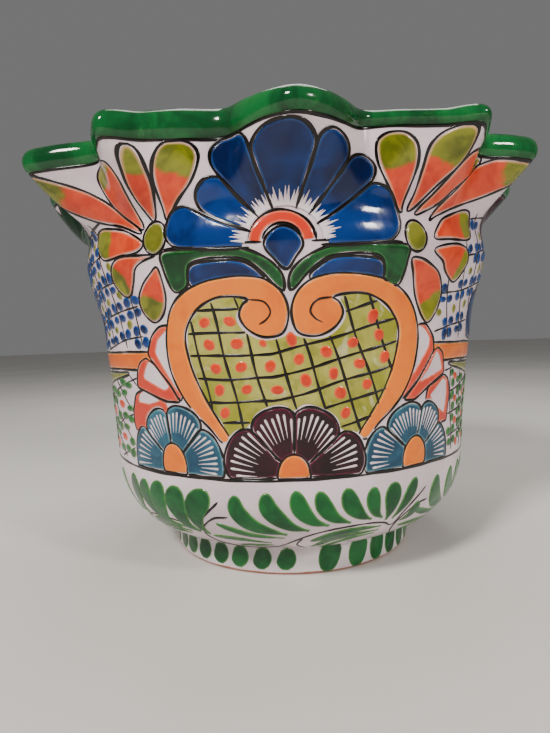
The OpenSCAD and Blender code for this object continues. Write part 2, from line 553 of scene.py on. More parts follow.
def inset(loop, depth):
    """A smaller closed outline at one depth inside another."""
    return inset_points(tidy_loop(loop), depth)


def hex_points(loop, spacing, margin):
    """Evenly spread points inside the outline, clear of its edge."""
    low, high = loop.min(0), loop.max(0)
    rows = np.arange(low[1], high[1], spacing * 0.87)
    points = []
    for k, y in enumerate(rows):
        x = np.arange(low[0] + (k % 2) * spacing / 2, high[0], spacing)
        points.append(pairs(x, np.full(len(x), y)))
    if not points:
        return np.zeros((0, 2))
    points = np.concatenate(points)
    points = points[inside(loop, points)]
    if not len(points):
        return points
    return points[distance_to(loop, points) > margin]


def outline_edges(triangles):
    """Edges used by one triangle only, in that triangle's direction."""
    seen = {}
    for t in triangles:
        for a, b in ((t[0], t[1]), (t[1], t[2]), (t[2], t[0])):
            key = (min(a, b), max(a, b))
            seen.setdefault(key, []).append((a, b))
    return [uses[0] for uses in seen.values() if len(uses) == 1]


def clipped(path, loop, margin=0.0, within=True):
    """The stretches of a path that run inside (or outside) an outline."""
    path = resample(path, 1.0)
    good = inside(loop, path) == within
    if margin:
        good &= distance_to(loop, path) > margin
    runs, start = [], None
    for k, ok in enumerate(list(good) + [False]):
        if ok and start is None:
            start = k
        if not ok and start is not None:
            if k - start > 3:
                runs.append(path[start:k])
            start = None
    return runs


def finish_mesh(mesh, name, material, sharp):
    """Turns a mesh into a smooth-shaded object riding on the pot."""
    shell = bmesh.new()
    shell.from_mesh(mesh)
    bmesh.ops.recalc_face_normals(shell, faces=shell.faces)
    shell.to_mesh(mesh)
    shell.free()
    mesh.shade_smooth()
    mesh.set_sharp_from_angle(angle=math.radians(sharp))
    mesh.materials.append(material)
    obj = bpy.data.objects.new(name, mesh)
    bpy.context.scene.collection.objects.link(obj)
    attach(obj, "root")
    return obj


# ------------------------------------------------------------------------ materials

def srgb(red, green, blue):
    """Linear colour from 0-255 display values."""
    def linear(c):
        c /= 255
        return c / 12.92 if c <= 0.04045 else ((c + 0.055) / 1.055) ** 2.4
    return (linear(red), linear(green), linear(blue), 1.0)


class Nodes:
    """Short names for building one material's node tree."""

    def __init__(self, name, roughness=0.12):
        self.material = bpy.data.materials.new(name)
        self.material.use_nodes = True
        self.tree = self.material.node_tree
        self.shader = self.tree.nodes["Principled BSDF"]
        self.shader.inputs["Roughness"].default_value = roughness
        self.shader.inputs["IOR"].default_value = 1.42
        self.where = self.make("ShaderNodeTexCoord").outputs["Object"]

    def make(self, kind, **values):
        """New node, with its settings."""
        node = self.tree.nodes.new(kind)
        for key, value in values.items():
            setattr(node, key, value)
        return node

    def feed(self, socket, value):
        """Links another node's output to a socket, or sets the socket's own value."""
        if isinstance(value, bpy.types.NodeSocket):
            self.tree.links.new(value, socket)
        else:
            socket.default_value = value

    def set(self, node, **values):
        """Feeds a node's inputs by name."""
        for key, value in values.items():
            self.feed(node.inputs[key], value)

    def mark(self, label):
        """One of the marks that Paint leaves at each point."""
        return self.make("ShaderNodeAttribute", attribute_name=label).outputs["Fac"]

    def noise(self, scale, detail=3.0, rough=0.5, stretch=None, distort=0.0):
        """Noise in object space; scale is in features per metre."""
        node = self.make("ShaderNodeTexNoise")
        where = self.where
        if stretch:
            mapping = self.make("ShaderNodeMapping")
            self.set(mapping, Vector=where, Scale=stretch)
            where = mapping.outputs["Vector"]
        self.set(node, Vector=where, Scale=scale, Detail=detail, Roughness=rough, Distortion=distort)
        return node.outputs["Fac"]

    def cells(self, scale):
        """Distance from the nearest of scattered points; scale is in points per metre."""
        node = self.make("ShaderNodeTexVoronoi", feature="F1")
        self.set(node, Vector=self.where, Scale=scale)
        return node.outputs["Distance"]

    def span(self, value, low, high, out_low=0.0, out_high=1.0):
        """Maps low..high onto out_low..out_high, held at both ends."""
        node = self.make("ShaderNodeMapRange", interpolation_type="SMOOTHSTEP")
        for key, item in (("Value", value), ("From Min", low), ("From Max", high),
                          ("To Min", out_low), ("To Max", out_high)):
            self.feed(node.inputs[key], item)
        return node.outputs["Result"]

    def cloud(self, low, high, *noise, out=(0.0, 1.0), **how):
        """Noise, with its values between low and high spread over the out range."""
        return self.span(self.noise(*noise, **how), low, high, *out)

    def math(self, operation, a, b):
        """Two values combined."""
        node = self.make("ShaderNodeMath", operation=operation)
        self.feed(node.inputs[0], a)
        self.feed(node.inputs[1], b)
        return node.outputs[0]

    def mix(self, factor, a, b):
        """Colour a where the factor is 0, b where it is 1."""
        node = self.make("ShaderNodeMix", data_type="RGBA")
        self.feed(node.inputs[0], factor)
        self.feed(node.inputs[6], a)
        self.feed(node.inputs[7], b)
        return node.outputs[2]

    def finish(self, colour, bump=0.12, rough_low=0.07, rough_high=0.2):
        """Glossy glaze: colour, uneven gloss, orange-peel bump and a few pinholes."""
        self.feed(self.shader.inputs["Base Color"], colour)
        gloss = self.cloud(0.35, 0.7, 55, 4.0, 0.6, out=(rough_low, rough_high))
        self.feed(self.shader.inputs["Roughness"], gloss)
        swell = self.math("MULTIPLY", self.noise(38, 2.0, 0.45), 1.6)
        peel = self.math("MULTIPLY", self.noise(420, 2.0, 0.5), 0.10)
        pits = self.math("MULTIPLY", self.span(self.cells(130), 0.02, 0.07), 0.05)
        node = self.make("ShaderNodeBump")
        height = self.math("ADD", self.math("ADD", swell, peel), pits)
        self.set(node, Strength=bump, Distance=0.002, Height=height)
        self.feed(self.shader.inputs["Normal"], node.outputs["Normal"])
        return self.material


def white_glaze():
    """Tin glaze with a faint lilac cast, thicker and thinner patches and iron specks."""
    n = Nodes("white_tin_glaze")
    thick = n.cloud(0.35, 0.68, 16, 4.0, 0.55, distort=0.4)
    colour = n.mix(thick, srgb(213, 191, 200), srgb(232, 215, 221))
    streak = n.cloud(0.5, 0.75, 9, 3.0, 0.5, stretch=(1, 1, 5), out=(0.0, 0.35))
    colour = n.mix(streak, colour, srgb(204, 186, 194))
    chosen = n.cloud(0.58, 0.62, 60, 2.0)
    specks = n.math("MULTIPLY", n.span(n.cells(75), 0.03, 0.075, 1.0, 0.0), chosen)
    colour = n.mix(n.math("MULTIPLY", specks, 0.55), colour, srgb(120, 92, 78))
    return n.finish(colour, bump=0.16)


def brushed_glaze(name, thin, full, deep, brush):
    """Colour glaze laid with a brush: deep where it pools, thin at its edges."""
    n = Nodes(name)
    thin, full, deep = (srgb(*colour) for colour in (thin, full, deep))
    tint = n.math("MULTIPLY", n.mark("tint"), 0.3)
    pool = n.noise(brush, 3.0, 0.55, distort=0.8)
    pool = n.span(n.math("ADD", pool, tint), 0.38, 0.86)
    colour = n.mix(pool, full, deep)
    edge = n.span(n.mark("edge"), 0.15, 1.4, 0.75, 0.0)
    ragged = n.math("MULTIPLY", edge, n.cloud(0.3, 0.6, 260, 3.0, 0.6, out=(0.45, 1.0)))
    return n.finish(n.mix(ragged, colour, thin))


def tipped_glaze(name, base, base_deep, tip, tip_deep, start, end):
    """Petal glaze that turns from one colour to another towards its tip."""
    n = Nodes(name)
    pool = n.cloud(0.35, 0.7, 70, 3.0, 0.55, distort=0.6)
    body = n.mix(pool, base, base_deep)
    head = n.mix(pool, tip, tip_deep)
    place = n.math("ADD", n.mark("run"), n.math("MULTIPLY", n.noise(90, 3.0, 0.6), 0.22))
    place = n.math("ADD", place, n.math("MULTIPLY", n.mark("tint"), 0.12))
    colour = n.mix(n.span(place, start, end), body, head)
    edge = n.span(n.mark("edge"), 0.1, 1.3, 0.55, 0.0)
    return n.finish(n.mix(edge, colour, srgb(238, 176, 140)))


def rim_glaze():
    """Green that runs in streaks down the rim, light where it is thin and dark where it pools."""
    n = Nodes("rim_green_glaze")
    flow = n.cloud(0.36, 0.66, 26, 4.0, 0.6, stretch=(1, 1, 0.35), distort=1.2)
    colour = n.mix(flow, srgb(10, 62, 30), srgb(26, 106, 50))
    thin = n.cloud(0.60, 0.74, 75, 4.0, 0.65, distort=0.6, out=(0.0, 0.55))
    return n.finish(n.mix(thin, colour, srgb(58, 128, 62)), 0.2, 0.06, 0.16)


def bare_clay():
    """Unglazed terracotta with grog specks."""
    n = Nodes("bare_clay", 0.8)
    colour = n.mix(n.cloud(0.35, 0.7, 40, 5.0, 0.6), srgb(172, 108, 78), srgb(198, 136, 104))
    grog = n.cloud(0.62, 0.7, 900, 2.0, 0.6, out=(0.0, 0.6))
    return n.finish(n.mix(grog, colour, srgb(120, 74, 56)), 0.5, 0.65, 0.9)


def foot_glaze():
    """White glaze wiped off the lowest edge, where the red clay shows."""
    n = Nodes("foot_glaze")
    colour = n.mix(n.cloud(0.35, 0.68, 22, 4.0, 0.55), srgb(210, 198, 202), srgb(230, 222, 224))
    split = n.make("ShaderNodeSeparateXYZ")
    n.feed(split.inputs[0], n.where)
    height = n.math("ADD", split.outputs["Z"], n.math("MULTIPLY", n.noise(60, 3.0), 0.0022))
    wiped = n.span(height, 0.0026, 0.0036, 1.0, 0.0)
    return n.finish(n.mix(wiped, colour, srgb(176, 104, 72)), bump=0.16)


def line_glaze():
    """Manganese brown-black outline, a little washed out where the brush ran dry."""
    n = Nodes("outline_glaze")
    dry = n.cloud(0.52, 0.78, 85, 4.0, 0.6, out=(0.0, 0.75))
    colour = n.mix(dry, srgb(10, 7, 6), srgb(48, 34, 30))
    edge = n.span(n.mark("edge"), 0.0, 0.22, 0.5, 0.0)
    return n.finish(n.mix(edge, colour, srgb(96, 74, 70)), 0.1, 0.12, 0.3)


def lattice_glaze():
    """Olive-yellow wash dabbed on cell by cell, so that it comes out patchy."""
    n = Nodes("lattice_wash_glaze")
    wash = n.cloud(0.36, 0.66, 34, 3.0, 0.6, distort=0.7)
    colour = n.mix(wash, srgb(176, 170, 84), srgb(140, 140, 30))
    dark = n.cloud(0.5, 0.72, 110, 4.0, 0.65, out=(0.0, 0.6))
    colour = n.mix(dark, colour, srgb(112, 114, 18))
    pale = n.cloud(0.58, 0.7, 58, 3.0, 0.6, distort=1.0, out=(0.0, 0.5))
    return n.finish(n.mix(pale, colour, srgb(214, 206, 170)))


WHITE = white_glaze()
FOOT = foot_glaze()
CLAY = bare_clay()
RIM = rim_glaze()
LINE = line_glaze()
LATTICE = lattice_glaze()
BLUE = brushed_glaze("blue_glaze", (44, 92, 160), (8, 50, 116), (2, 18, 62), 34)
GREEN = brushed_glaze("green_glaze", (60, 130, 64), (10, 88, 35), (3, 50, 19), 60)
LEAF = brushed_glaze("leaf_glaze", (98, 152, 72), (14, 102, 44), (4, 70, 32), 80)
AMBER = brushed_glaze("amber_glaze", (244, 160, 76), (240, 122, 20), (224, 98, 12), 40)
CORAL = brushed_glaze("coral_glaze", (238, 136, 104), (222, 72, 48), (204, 54, 34), 60)
RED_DOT = brushed_glaze("red_dot_glaze", (236, 116, 70), (216, 62, 26), (192, 44, 18), 90)
OLIVE = brushed_glaze("olive_glaze", (176, 172, 96), (124, 124, 40), (90, 94, 26), 70)
MAROON = brushed_glaze("aubergine_glaze", (112, 40, 66), (50, 4, 19), (22, 1, 8), 60)
TEAL = brushed_glaze("teal_glaze", (112, 160, 170), (42, 100, 122), (14, 60, 84), 55)
FOREST = brushed_glaze("forest_glaze", (70, 120, 76), (10, 62, 30), (3, 30, 16), 50)
COMB = brushed_glaze("comb_glaze", (206, 186, 192), (226, 212, 217), (236, 226, 229), 60)
PETAL = tipped_glaze("petal_glaze", srgb(220, 74, 34), srgb(196, 48, 20),
                     srgb(130, 132, 30), srgb(82, 88, 14), 0.86, 0.94)


# ------------------------------------------------------------------- walls of the pot

TURNS = np.linspace(-180, 180, 480, endpoint=False)


def swept(name, material, node, rows):
    """Closed section carried round the pot: rows of (radius, height), each per turn."""
    rings = [about_axis(TURNS, radius, height) for radius, height in rows]
    count = len(TURNS)
    faces = []
    for k in range(len(rings)):
        this, following = k * count, (k + 1) % len(rings) * count
        for i in range(count):
            j = (i + 1) % count
            faces.append([this + i, this + j, following + j, following + i])
    mesh = bpy.data.meshes.new(name)
    mesh.from_pydata([tuple(p) for p in np.concatenate(rings) * MM], [], faces)
    obj = finish_mesh(mesh, name, material, 45)
    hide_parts(node)


def outside(heights):
    """Rows up the outside of the wall."""
    return [(wall_radius(TURNS, z), z) for z in heights]


def drum_inner(z):
    """Inside radius of the drum."""
    return smooth(DRUM_KEYS, z, False) - WALL + 0.4 * np.sin(np.radians(2 * TURNS) + z / 20)


def bowl_inner(z):
    """Inside radius of the bowl, a quarter ellipse from the floor to the band."""
    share = np.clip((BAND_Z - z) / (BAND_Z - FLOOR_TOP), 0, 1)
    return FLOOR_R + (BAND_R - WALL - FLOOR_R) * np.sqrt(1 - share**2)


def make_foot():
    """Foot ring, rounded at the table."""
    outer = [(foot_radius(TURNS, z), z) for z in (0, 0.4, 1, 2, 3, 6, 10, 14, 17, 19, FOOT_H)]
    inner = [(FOOT_R - FOOT_WALL, z) for z in (FOOT_H, 14, 8, 2, 0.5)]
    swept("foot_glazed", FOOT, "foot_ring", outer + inner)


def make_floor():
    """Floor disc, with the edges of its drain hole broken."""
    low, high, edge = FLOOR_LOW[2], FLOOR_TOP, 0.6
    rows = [(DRAIN_R + edge, high), (FLOOR_R, high), (FLOOR_R, low), (DRAIN_R + edge, low)]
    rows += [(DRAIN_R, low + edge), (DRAIN_R, high - edge)]
    swept("floor_clay", CLAY, "floor_disc", rows)


def make_bowl():
    """Rounded bowl from the foot to the band."""
    rows = outside(BAND_Z - (BAND_Z - FOOT_H) * np.linspace(1, 0, 40))
    rows += [(bowl_inner(z), z) for z in np.linspace(BAND_Z, FLOOR_TOP, 30)]
    swept("bowl_glazed", WHITE, "lower_bowl", rows)


def make_drum():
    """Drum from the band to the neck."""
    heights = np.linspace(BAND_Z, NECK_Z, int(DRUM_RISE / 2.2) + 1)
    rows = outside(heights) + [(drum_inner(z), z) for z in heights[::-1]]
    swept("drum_glazed", WHITE, "drum_wall", rows)


def make_collar():
    """Collar from the neck to the rim, flaring into the lobes."""
    shares = np.linspace(0, 1, 26)
    heights = [NECK_Z + (seat_z(TURNS) - NECK_Z) * t for t in shares]
    inner = [(collar_mid(TURNS, t) - collar_half(t), z) for t, z in zip(shares, heights)]
    swept("collar_glazed", WHITE, "flared_collar", outside(heights) + inner[::-1])


def make_rim():
    """Rolled rim, a little fatter and thinner from place to place."""
    fat = 1 + 0.03 * np.sin(np.radians(5 * TURNS)) + 0.02 * np.sin(np.radians(13 * TURNS + 40))
    rows = []
    for a in np.linspace(-SEAT_ANGLE, math.pi + SEAT_ANGLE, 34):
        r = seat_r(TURNS) + ROLL_W / 2 * fat * math.cos(a)
        z = rim_z(TURNS) - roll_height(TURNS) / 2 * (1 - math.sin(a))
        rows.append((r, z))
    swept("rim_glazed", RIM, "rim_roll", rows)


# --------------------------------------------------------------------------- motifs

def mirrored(points, middle, stretch=1.0):
    """The points mirrored about x = middle, and stretched sideways."""
    points = np.asarray(points, float)
    return pairs(2 * middle - points[:, 0] * stretch, points[:, 1])


def petal_reach(reach, u):
    """Radius of a petal's round tip, for u from -1 to 1 across the petal."""
    return reach * (1 - 0.13 * np.abs(u) ** 3)


def fan(centre, start, end, reach, bend=0.0):
    """One petal of a half-flower: from its centre up one side, round the tip and back.

    The sides lean outwards from the flower's middle line by bend degrees at the root.
    """
    u = np.concatenate([np.full(9, -1), np.linspace(-1, 1, 21), np.full(9, 1)])
    share = np.concatenate([np.linspace(0.06, 0.94, 9), np.ones(21), np.linspace(0.94, 0.06, 9)])
    angle = start + (end - start) * (u + 1) / 2
    angle -= bend * np.cos(np.radians(angle)) * (1 - share)
    return softened(polar(centre, petal_reach(reach, u) * share, angle), 2.4)


def softened(loop, radius):
    """The closed outline at even steps, its corners rounded off."""
    loop = resample(np.concatenate([loop, loop[:1]]), 0.8)[:-1]
    reach = max(1, int(radius / 0.8))
    for _ in range(2):
        loop = sum(np.roll(loop, k, 0) for k in range(-reach, reach + 1)) / (2 * reach + 1)
    return loop


def beyond(loop, centre, root):
    """True where a petal's outline is outside a circle about the flower's centre."""
    return np.linalg.norm(loop - np.asarray(centre), axis=1) > root


def petal(centre, start, end, reach, root, gap, bend=0.0):
    """Closed outline of the glaze of one petal, inside its ink line."""
    loop = inset(fan(centre, start, end, reach, bend), gap)
    return loop[beyond(loop, centre, root)]


def open_loop(loop, centre, root):
    """A petal's outline as an open path that starts and ends near the centre."""
    far = beyond(loop, centre, root)
    first = int(np.argmin(far))
    return np.roll(loop, -first, 0)[np.roll(far, -first)]


def petals_of(flower):
    """Centre, both side angles and reach of each petal of a half-flower."""
    centre, angles, reaches = flower
    return [(centre, a, b, reach) for a, b, reach in zip(angles, angles[1:], reaches)]


def flower_outline(flower, grow, drop):
    """Scalloped outline of a whole half-flower, closed along its base."""
    u = np.linspace(-1, 1, 15)
    path = []
    for centre, start, end, reach in petals_of(flower):
        r = petal_reach(reach, u) - 0.06 * reach * np.abs(u) ** 9 + grow
        path.append(polar(centre, r, start + (end - start) * (u + 1) / 2))
    path = np.concatenate(path)
    return np.concatenate([path, path[[-1, 0]] - (0, drop)])


def under(loop, turn, gap=0.0):
    """The outline with everything above the line under the rim brought down to it."""
    top = line_height(turn + loop[:, 0] / MM_PER_DEGREE) - gap
    return pairs(loop[:, 0], np.minimum(loop[:, 1], top))


def line_height(turn):
    """Height of the ink line under the rolled rim."""
    return seat_z(turn) - 0.6


def draw(ink, path, cut=(), level=0, half=0.82, taper=0.35):
    """Ink line along the path, broken where other shapes cover it."""
    pieces = [np.asarray(path, float)]
    for ring in cut:
        pieces = [p for piece in pieces for p in clipped(piece, ring, within=False)]
    for piece in pieces:
        ink.line(piece, half, level, taper)


def draw_loop(ink, loop, cut=(), half=0.82):
    """Ink line all the way round a closed outline."""
    draw(ink, np.concatenate([loop, loop[:1]]), cut, half=half, taper=0.75)


def closed(points):
    """Smooth closed outline through the points."""
    return curve(points, closed=True, step=1.0)


def outlined(paint, ink, ring, gap, cut=(), half=0.82, **how):
    """A painted shape inside its ink outline."""
    paint.patch(inset(ring, gap), cut=cut, **how)
    draw_loop(ink, ring, cut, half)


def teardrop(path, half, peak, start, blunt):
    """Closed outline of a brush mark that swells to its peak, a share of the way along."""
    path = curve(path, step=1.2)
    s = np.linspace(0, 1, len(path))
    power = math.log(0.5) / math.log(peak)
    width = half * np.maximum(np.sin(np.pi * s**power) ** blunt, start * (1 - s))
    side = sideways(path) * width[:, None]
    return np.concatenate([path + side, (path - side)[::-1]])


FRONT = -1.9                                 # degrees the painting is turned off the front
# Half-flowers: centre, the angles between petals, and how far each petal reaches.
BLUE_FLOWER = (
    (-1.0, 210.0), (180, 156, 131, 107.5, 73, 53, 34.5, 0), (66, 54, 62.6, 55, 58, 61.5, 64),
)
MAROON_FLOWER = ((0, 78), (184, 132, 88, 39, -4), (44, 42, 42, 46))
TEAL_LEFT = ((-80, 82), (208, 142, 97, 46, -28), (42, 37, 38, 37.5))
TEAL_RIGHT = ((83, 82), (208, 139, 79, 37, -28), (39, 35, 37, 36.5))
SIDE_FLOWER = ((0, 222), (180, 150, 112, 68, 30, 0), (68, 60, 43, 60, 68))
SIDE_BLUE = ((0, 154.5), (180, 147, 108, 72, 33, 0), (80, 64, 56, 64, 80))
BAND_V = 76.4                                # height of the line the flowers stand on
BLUE_BEND = 10                               # degrees the blue petals lean outwards
SIDE_BEND = 8
STROKE_STEP = 6.3                            # degrees between the white strokes of a petal
LATTICE_STEP = 16.3                          # between the lattice's leaning lines
CORAL_CENTRE = (-3, 210)                     # of the coral ring in the front blue flower

# Outlines on the front panel: x from its middle and height, mostly of its left half.
BLUE_DROP = [
    (-12, 208), (-9.2, 215), (-2.5, 218.6), (4.5, 215.5), (7.8, 208.5), (4, 202), (-1, 195.5),
    (-7.5, 201.5),
]
BRACKET = [
    (-69, 208.6), (-50, 209), (-33, 209), (-21, 206.5), (-10, 201), (-3, 193), (-2.6, 184.5),
    (-7, 187), (-13, 194), (-21, 200.5), (-33, 203.2), (-48, 202.8), (-54, 199), (-56, 189.5),
    (-62, 186), (-67, 188), (-70, 200),
]
LENS = [(-54, 189), (-53, 199.5), (-38, 202), (-23.5, 200.4), (-13, 191), (-24, 189), (-38, 188)]
SCROLL = [
    (-43, 97.5), (-51, 106), (-60, 114), (-68, 123.5), (-74.7, 137), (-77.3, 151), (-76, 164),
    (-71, 175.7), (-62.6, 184), (-50, 190), (-37, 192.6), (-24, 193), (-12.6, 190.7),
    (-4.5, 184.5), (-0.8, 176), (-1.2, 167), (-5, 160.3), (-15, 158.8), (-24, 163.5),
    (-28, 171), (-25.5, 177.5), (-22, 180), (-30, 182), (-41, 181.4), (-52.6, 175.7),
    (-60, 167), (-62.6, 158.6), (-61, 147), (-57, 134), (-51, 121), (-44, 110), (-38, 100.5),
]
SCROLL_CURL = [(-22, 180), (-14, 178.5), (-10.5, 173), (-13, 168.5), (-17, 166)]
HEART_LEFT = [
    (-62, 158), (-59.5, 167.5), (-52, 176), (-41, 181.5), (-30, 182), (-24, 179.5), (-29, 171),
    (-25, 163), (-15, 158), (-4, 159.5), (0, 163),
]
HEART_RIGHT = [
    (5, 159.5), (18, 158), (27, 163), (31, 171), (27, 179.5), (33, 182), (45, 181.5), (56, 175),
    (64.6, 167), (66.5, 157), (65, 142), (59, 124.5), (49, 109), (39, 100.5), (30, 103),
]
HEART_FOOT = [
    (24, 108), (17, 116), (8, 119), (0, 115), (-8, 119), (-18, 116), (-25, 108), (-31, 103),
    (-38, 100.5), (-44, 110), (-51, 121), (-57, 134), (-61, 147),
]
# Coral fans: outline, and the white opening inside.
LEFT_FANS = [
    ([(-71, 121), (-77.5, 131.5), (-88, 142), (-96, 150.5), (-90, 161.5), (-82, 167), (-74, 168),
      (-68, 160), (-66, 130)],
     [(-72, 128), (-81.5, 142), (-88, 151.5), (-84.5, 159), (-77.5, 164), (-72, 166), (-68, 150)]),
    ([(-70.5, 121), (-77, 131.5), (-89.5, 144.5), (-98, 148.5), (-105.5, 145.5), (-110, 139),
      (-112.5, 129), (-106, 127.5), (-95.5, 124.5), (-84, 121.5)],
     [(-78.9, 130.5), (-89, 142), (-95.5, 146.3), (-100.4, 140.5), (-103, 135.5), (-83, 128.3)]),
    ([(-82, 121), (-93, 125), (-105.5, 128), (-116, 124.5), (-121, 113.5), (-121.5, 105.5),
      (-117.5, 98), (-100, 98), (-80, 110)],
     [(-89, 121.5), (-95.5, 124.3), (-106, 126.8), (-111.5, 124), (-112.3, 119.5), (-100, 119)]),
]
RIGHT_FANS = [
    ([(71, 118.5), (86, 132), (99.5, 147.5), (97, 156), (89, 164), (83, 164), (73, 160), (67, 130)],
     [(70, 124), (84, 139), (93, 150), (93.5, 155), (89, 160), (84, 163), (74, 158), (68, 132)]),
    ([(72, 118), (81.5, 117.5), (94, 125), (114, 132.5), (111, 145.5), (104, 149.5), (99, 147.5),
      (86, 132)],
     [(85.5, 128.5), (94.5, 136.5), (102.5, 147), (107, 143), (110, 135)]),
    ([(92, 117), (94, 125), (113.5, 131.5), (120.5, 128), (123.5, 117.5), (120.5, 100), (100, 100)],
     [(97, 119), (112, 128.5), (117.5, 127), (118, 115), (116, 106), (105, 112)]),
]


def blue_flower(turn, side, ink):
    """Half-flower under the front hump, with brushed white rays and a coral heart."""
    blue = Paint(f"{side}_blue_petals", BLUE, turn)
    white = Paint(f"{side}_blue_rays", COMB, turn)
    coral = Paint(f"{side}_flower_heart", CORAL, turn)
    centre = BLUE_FLOWER[0]
    for _, a, b, reach in petals_of(BLUE_FLOWER):
        tip = polar(centre, reach, (a + b) / 2)
        loop = under(petal(centre, a, b, reach, 21.5, 0.75, BLUE_BEND), turn, 1.2)
        blue.patch(loop, axis=(centre, tip))
        outline = under(fan(centre, a, b, reach, BLUE_BEND), turn)
        draw(ink, open_loop(outline, centre, 18), level=OVER + 1)
    rays(white, centre, 20.5, 25, 46)
    white.ribbon(ring_arc(centre, 20.3, 3, 177), 1.3, OVER)
    coral.ribbon(ring_arc(CORAL_CENTRE, 13.6, 4, 176), 2.9, lift=0.42)
    draw(ink, ring_arc(CORAL_CENTRE, 17.3, 2, 178))
    draw(ink, ring_arc(CORAL_CENTRE, 9.9, 10, 170))
    outlined(blue, ink, closed(BLUE_DROP), 0.9)
    draw(ink, [(-68, 210), (-40, 210.4), (-13, 210)])
    draw(ink, [(12, 210), (35, 210.3), (63, 210)])
    return [blue, white, coral]


def rays(paint, centre, near, far, count):
    """Short pointed strokes of uneven length round the upper half of a flower's heart."""
    for k in range(count):
        angle = 3 + k * 174 / (count - 1) + rng.uniform(-1.5, 1.5)
        path = resample(spoke(centre, angle, near, far + (far - near) * rng.random()), 1.5)
        paint.ribbon(path, np.linspace(1.15, 0.12, len(path)), OVER)


def spoke(centre, angle, near, far):
    """Straight stroke out from a centre at one angle."""
    return polar(centre, np.linspace(near, far, 8), angle)


def ring_arc(centre, radius, start, end):
    """Part of a circle."""
    return polar(centre, radius, np.linspace(start, end, 30))


def brackets(turn, side, ink, scrolls):
    """Green brackets below the half-flower, each with a blue lens inside."""
    green = Paint(f"{side}_green_brackets", GREEN, turn)
    blue = Paint(f"{side}_blue_lenses", BLUE, turn)
    for bracket, lens in ((BRACKET, LENS), (mirrored(BRACKET, -1), mirrored(LENS, -1))):
        outlined(green, ink, closed(bracket), 0.9)
        outlined(blue, ink, closed(lens), 0.9, scrolls)
    return [green, blue]


def standing_petal(centre, a, b, reach, colour, ink, cut, floor):
    """One petal of a half-flower that stands on a line at the floor height."""
    glaze = under(petal(centre, a, b, reach, 9, 0.85), colour.turn, 1)
    colour.patch(above(glaze, floor + 0.9), cut=cut)
    edge = under(open_loop(fan(centre, a, b, reach), centre, 9), colour.turn)
    draw(ink, above(edge, floor), cut)


def combed_flower(flower, colour, ink, comb, cut):
    """Half-flower on the band line, its petals combed with tapering white strokes."""
    for centre, a, b, reach in petals_of(flower):
        standing_petal(centre, a, b, reach, colour, ink, cut, BAND_V)
        strokes = round((a - b) / STROKE_STEP)
        for k in range(strokes):
            share = (k + 0.7 + 0.15 * rng.random()) / (strokes + 0.4)
            tip = petal_reach(reach, 2 * share - 1)
            near, far = tip * (0.5 + 0.08 * rng.random()), tip * (0.86 + 0.06 * rng.random())
            path = resample(spoke(centre, a + (b - a) * share, near, far), 1.5)
            along = np.linspace(0, 1, len(path))
            width = np.interp(along, (0, 0.75, 0.93, 1), (0.1, 0.62, 0.85, 0.5))
            top = line_height(colour.turn + path[:, 0] / MM_PER_DEGREE) - 1.6
            good = (path[:, 1] > BAND_V + 1.6) & (path[:, 1] < top)
            for ring in cut:
                good &= ~inside(ring, path)
            if good.sum() > 3:
                comb.ribbon(path[good], width[good], OVER)


def above(loop, floor):
    """The outline with everything below one height lifted to it."""
    return pairs(loop[:, 0], np.maximum(loop[:, 1], floor))


def bottom_flowers(turn, side, ink):
    """Aubergine half-flower between two teal ones, with amber hearts."""
    maroon = Paint(f"{side}_aubergine_petals", MAROON, turn)
    teal = Paint(f"{side}_teal_petals", TEAL, turn)
    comb = Paint(f"{side}_comb_strokes", COMB, turn)
    amber = Paint(f"{side}_amber_hearts", AMBER, turn)
    middle = above(oval((0, 78), 10, 13), BAND_V)
    combed_flower(MAROON_FLOWER, maroon, ink, comb, [middle])
    shield = [flower_outline(MAROON_FLOWER, 0.4, 4)]
    for flower, x, lean in ((TEAL_LEFT, -80.5, -3), (TEAL_RIGHT, 83, 8)):
        disc = above(oval((x, 82), 10.4, 13.5, lean), BAND_V)
        combed_flower(flower, teal, ink, comb, shield + [disc])
        outlined(amber, ink, disc, 0.8, lift=0.5)
    outlined(amber, ink, middle, 0.8, lift=0.5)
    return [maroon, teal, comb, amber]


def oval(centre, wide, high, lean=0.0):
    """Oval outline, leaning clockwise by some degrees."""
    a = np.linspace(0, 2 * np.pi, 36, endpoint=False)
    x, v, tilt = wide * np.cos(a), high * np.sin(a), math.radians(lean)
    turned = pairs(x * math.cos(tilt) + v * math.sin(tilt), v * math.cos(tilt) - x * math.sin(tilt))
    return turned + np.array(centre)


def heart(turn, side, ink, shields):
    """Amber heart-shaped scroll round a lattice of olive-yellow wash with red dots."""
    amber = Paint(f"{side}_heart_scroll", AMBER, turn)
    wash = Paint(f"{side}_lattice_wash", LATTICE, turn)
    dots = Paint(f"{side}_lattice_dots", RED_DOT, turn)
    lines = Paint(f"{side}_lattice_lines", LINE, turn)
    outline = closed(HEART_LEFT + HEART_RIGHT + HEART_FOOT)
    wash.patch(inset(outline, 0.9), lift=0.26, cut=shields)
    taken = list(shields)
    left, end = closed(SCROLL), np.array(SCROLL_CURL, float)
    for loop, curl in ((left, end), (right_hand(left), right_hand(end))):
        taken.append(loop)
        outlined(amber, ink, loop, 0.8, shields, 0.75, lift=0.45)
        draw(ink, curve(curl), level=OVER + 1, half=0.6)
    for path in lattice_paths():
        for piece in clipped(path, outline, 0.6):
            draw(lines, piece, shields, OVER - 1, taper=0.6)
    lattice_dots(dots, outline, taken)
    return [amber, wash, dots, lines]


